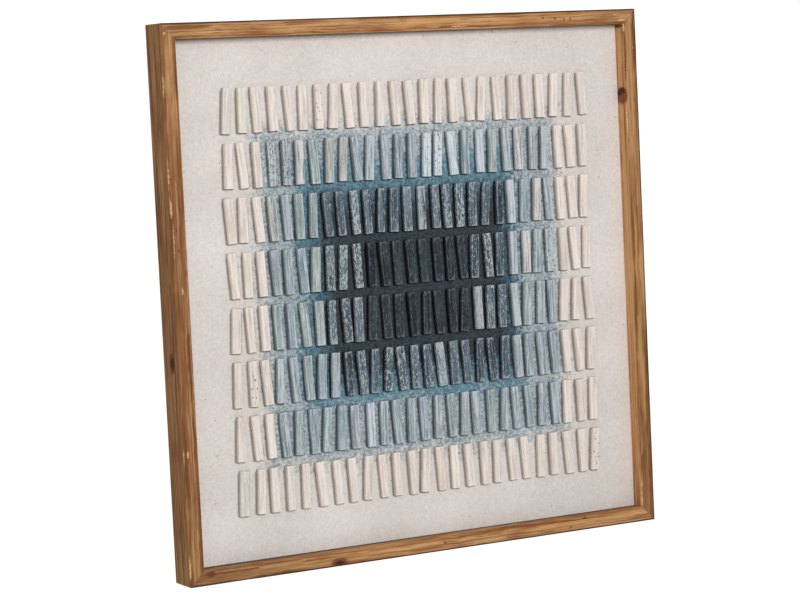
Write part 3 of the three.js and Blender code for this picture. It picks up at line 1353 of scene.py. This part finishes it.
def settled(tree, size, sticks):
    """The sticks with their corners moved a little, and the fibres of each begun somewhere else."""
    wobble = add_node(tree, "ShaderNodeTexNoise", {
        "Vector": add_node(tree, "GeometryNodeInputPosition"),
        "Scale": size["Wobble waves"],
        "Detail": 1.0,
    })
    centred = add_node(tree, "ShaderNodeVectorMath", {
        0: wobble.outputs["Color"],
        1: (0.5, 0.5, 0.5),
    }, operation="SUBTRACT")
    nudge = add_node(tree, "ShaderNodeVectorMath", {
        0: centred,
        "Scale": size["Wobble"],
    }, operation="SCALE")
    sticks = add_node(tree, "GeometryNodeSetPosition", {"Geometry": sticks, "Offset": nudge})
    number = add_node(tree, "GeometryNodeInputNamedAttribute", {"Name": "number"}, data_type="FLOAT")
    own = add_node(tree, "GeometryNodeInputNamedAttribute", {"Name": "fibre"}, data_type="FLOAT_VECTOR")
    moved = add_node(tree, "ShaderNodeVectorMath", {
        0: add_node(tree, "ShaderNodeCombineXYZ", {"X": number, "Z": number}),
        1: fibres_apart,
        2: own,
    }, operation="MULTIPLY_ADD")
    return add_node(tree, "GeometryNodeStoreNamedAttribute", {
        "Geometry": sticks,
        "Name": "fibre",
        "Value": moved,
    }, data_type="FLOAT_VECTOR", domain="POINT")


def stick_tree():
    """The Geometry Nodes tree that turns points into split sticks."""
    tree = bpy.data.node_groups.new("lay_sticks", "GeometryNodeTree")
    tree.is_modifier = True
    for name, kind, value in stick_inputs:
        socket = tree.interface.new_socket(name, in_out="INPUT", socket_type=kind)
        if value is not None:
            socket.default_value = value
    tree.interface.new_socket("Sticks", in_out="OUTPUT", socket_type="NodeSocketGeometry")
    size = add_node(tree, "NodeGroupInput").outputs
    turned, cut = [
        add_node(tree, "GeometryNodeInputNamedAttribute", {"Name": name}, data_type="FLOAT_VECTOR")
        for name in ("turned", "cut")
    ]
    copies = add_node(tree, "GeometryNodeInstanceOnPoints", {
        "Points": size["Places"],
        "Instance": stick_blank(tree, size),
        "Rotation": turned,
        "Scale": cut,
    })
    sticks = add_node(tree, "GeometryNodeRealizeInstances", {"Geometry": copies})
    painted = add_node(tree, "GeometryNodeSetMaterial", {
        "Geometry": settled(tree, size, sticks),
        "Material": size["Paint"],
    })
    add_node(tree, "NodeGroupOutput", {"Sticks": painted})
    return tree


lay_sticks = stick_tree()
print("stick tree:", len(lay_sticks.nodes), "nodes")

# %% [markdown]
# The paint is thin and was brushed and rubbed back, so the fibres of the wood print through it as
# pale and dark streaks. It crackled as it dried, darker in the cracks, and where the crackle broke
# away it left silvery flecks of the first coat, most of all on the slate sticks and along the rims.
# Some pale sticks have small dark pits. Shade is painted on the flanks, darker toward the plaster.
# One function builds the finish for all four paints. The shade, the flecks and the pits of a stick
# come from attributes, so one finish serves every stick of a paint.

# %% Small pits in the paint
# How many cells that may hold a pit lie in a centimetre, across, in depth and along the stick
pit_cells = (8, 4, 3.2)


def small_pits(tree, fibre, pits):
    """A mask of small pits: a few of many cells, pushed out of round, more of them for more pits."""
    frayed = add_node(tree, "ShaderNodeTexNoise", {"Vector": fibre, "Scale": 9 * per_cm})
    pit_place = add_node(tree, "ShaderNodeVectorMath", {
        0: frayed.outputs["Color"],
        1: Vector((1.6, 1.6, 1.6)) * mm,
        2: fibre,
    }, operation="MULTIPLY_ADD")
    drawn = add_node(tree, "ShaderNodeMapping", {
        "Vector": pit_place,
        "Scale": Vector(pit_cells) * per_cm,
    })
    cells = add_node(tree, "ShaderNodeTexVoronoi", {"Vector": drawn, "Scale": 1.0})
    own_number = add_node(tree, "ShaderNodeSeparateColor", {"Color": cells.outputs["Color"]})
    level = add_node(tree, "ShaderNodeMath", {0: pits, 1: -0.2, 2: 1.0}, operation="MULTIPLY_ADD")
    is_pit = add_node(tree, "ShaderNodeMath", {
        0: own_number.outputs[0],
        1: level,
    }, operation="GREATER_THAN")
    hollow = add_node(tree, "ShaderNodeMapRange", {
        "Value": cells.outputs["Distance"],
        "From Min": 0.5,
        "From Max": 0.25,
    })
    return add_node(tree, "ShaderNodeMath", {0: is_pit, 1: hollow}, operation="MULTIPLY").outputs[0]


print("cells for pits in a centimetre:", pit_cells)

# %% [markdown]
# The rest of the paint is coats over the stick's own shade. Streaks and crackle are noises drawn out
# along the fibres. How far a point of the blank lies from the plaster is the depth of its "fibre",
# so a coat that fades with that depth paints shade on the flanks and leaves the top alone.

# %% Thin rubbed paint on split wood
# How high up the flanks the painted shade reaches, and where it is darkest
flank_shade_top = 5.4 * mm
flank_shade_foot = 0.6 * mm

# How many marks of each pattern lie in a centimetre, across the stick and along it
paint_patterns = {
    "streaks": (7, 0.28),
    "hairs": (13, 0.6),
    "crackle": (9, 3),
}


def stick_finish(name, streak, dark_streak, fleck, flank_shade, flank_shade_depth, roughness, gloss):
    """Paint with streaks along the fibres, flecks of the first coat, pits and painted shade on the
    flanks.
    """
    finish, tree, shader = new_finish(name)
    fibre = add_node(tree, "ShaderNodeAttribute", attribute_name="fibre").outputs["Vector"]
    shade = add_node(tree, "ShaderNodeAttribute", attribute_name="shade").outputs["Color"]
    said = {
        mark: add_node(tree, "ShaderNodeAttribute", attribute_name=mark).outputs["Fac"]
        for mark in ("flecks", "pits", "rim")
    }
    paint = {}
    for pattern, (across, along) in paint_patterns.items():
        drawn = add_node(tree, "ShaderNodeMapping", {
            "Vector": fibre,
            "Scale": Vector((across, across, along)) * per_cm,
        })
        paint[pattern] = add_node(tree, "ShaderNodeTexNoise", {
            "Vector": drawn,
            "Scale": 1.0,
            "Detail": 4.0,
            "Roughness": 0.6,
        }).outputs["Fac"]

    chipped = add_node(tree, "ShaderNodeMath", {
        0: said["flecks"],
        1: 0.11,
        2: paint["crackle"],
    }, operation="MULTIPLY_ADD").outputs[0]
    rubbed = add_node(tree, "ShaderNodeMath", {
        0: said["rim"],
        1: paint["crackle"],
    }, operation="MULTIPLY").outputs[0]
    pit = small_pits(tree, fibre, said["pits"])
    depth = add_node(tree, "ShaderNodeSeparateXYZ", {"Vector": fibre}).outputs["Y"]
    coats = layered(tree, shade, [
        (paint["streaks"], 0.5, 0.63, 0.9, streak),
        (paint["streaks"], 0.48, 0.35, 0.9, dark_streak),
        (paint["crackle"], 0.46, 0.36, 0.35, dark_streak),
        (chipped, 0.61, 0.65, 0.85, fleck),
        (rubbed, 0.35, 0.5, 0.5, fleck),
        (pit, 0.0, 0.7, 0.9, "#35322F"),
        # Painted shade on the flanks, darkest at the plaster
        (depth, -flank_shade_top, -flank_shade_foot, flank_shade_depth, flank_shade),
    ])

    raised = add_node(tree, "ShaderNodeMath", {
        0: paint["streaks"],
        1: 1.2,
        2: paint["hairs"],
    }, operation="MULTIPLY_ADD")
    sunk = add_node(tree, "ShaderNodeMath", {0: pit, 1: -1.5, 2: raised}, operation="MULTIPLY_ADD")
    bump = add_node(tree, "ShaderNodeBump", {"Strength": 0.6, "Distance": 0.35 * mm, "Height": sunk})
    shader.inputs["Roughness"].default_value = roughness
    shader.inputs["Specular IOR Level"].default_value = gloss
    tree.links.new(coats, shader.inputs["Base Color"])
    tree.links.new(bump.outputs[0], shader.inputs["Normal"])
    return finish


print("patterns in the paint:", ", ".join(paint_patterns))

# %% [markdown]
# The four paints differ only in their colours and in how matt they are. The cream is a limewash,
# which is almost chalk. The other three are milk paints, and the darker a paint is, the darker the
# shade painted on its flanks.

# %% The four paints
stick_finishes = {
    "cream": stick_finish(
        "limewashed_split_wood", streak="#FAF3ED", dark_streak="#CFC2B7", fleck="#F5EEE7",
        flank_shade="#94877B", flank_shade_depth=0.78, roughness=0.85, gloss=0.2),
    "pale_blue": stick_finish(
        "pale_blue_milk_paint", streak="#D3DADD", dark_streak="#6F8088", fleck="#D0D6D9",
        flank_shade="#4C5A63", flank_shade_depth=0.88, roughness=0.8, gloss=0.2),
    "slate": stick_finish(
        "slate_milk_paint_crackled", streak="#7C8A93", dark_streak="#2E3A42", fleck="#C0C9CD",
        flank_shade="#0D141A", flank_shade_depth=0.98, roughness=0.75, gloss=0.15),
    "charcoal": stick_finish(
        "charcoal_milk_paint", streak="#49535B", dark_streak="#181F25", fleck="#768087",
        flank_shade="#050709", flank_shade_depth=1.0, roughness=0.7, gloss=0.15),
}
print("paints:", ", ".join(finish.name for finish in stick_finishes.values()))

# %% [markdown]
# Now the four sets of sticks are made: points with their attributes go into the tree, and the
# result is kept as a plain mesh. The tree's inputs are set by their identifiers, because a modifier
# doesn't know them by name.

# %% Make the four sets of sticks
def make_sticks(paint):
    """Every stick of one paint as one piece."""
    chosen = [lay for lay in lays if lay["paint"] == paint]
    points = [(lay["x"] * mm, -plaster_face, panel_middle + lay["z"] * mm) for lay in chosen]
    places = new_piece(f"places_{paint}", points, [], stick_finishes[paint])
    store(places.data, "turned", "FLOAT_VECTOR", [(0, -lay["lean"], lay["roll"]) for lay in chosen])
    store(places.data, "cut", "FLOAT_VECTOR", [lay["cut"] for lay in chosen])
    store(places.data, "shade", "FLOAT_COLOR", [lay["shade"] for lay in chosen])
    for name in ("flecks", "pits", "number"):
        store(places.data, name, "FLOAT", [lay[name] for lay in chosen])
    modifier = places.modifiers.new("lay sticks", "NODES")
    modifier.node_group = lay_sticks
    socket = next(item for item in lay_sticks.interface.items_tree if item.name == "Paint")
    modifier[socket.identifier] = stick_finishes[paint]
    evaluated = places.evaluated_get(bpy.context.evaluated_depsgraph_get())
    mesh = bpy.data.meshes.new_from_object(evaluated)
    bpy.data.objects.remove(places)
    mesh.name = f"sticks_{paint}"
    mesh.shade_smooth()
    mesh.set_sharp_from_angle(angle=math.radians(25))
    piece = bpy.data.objects.new(mesh.name, mesh)
    scene.collection.objects.link(piece)
    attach(piece, "root")
    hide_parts("relief_board")
    print(f"{piece.name}: {len(chosen)} sticks, {len(mesh.polygons)} faces")
    return piece


for paint in ring_paint:
    make_sticks(paint)
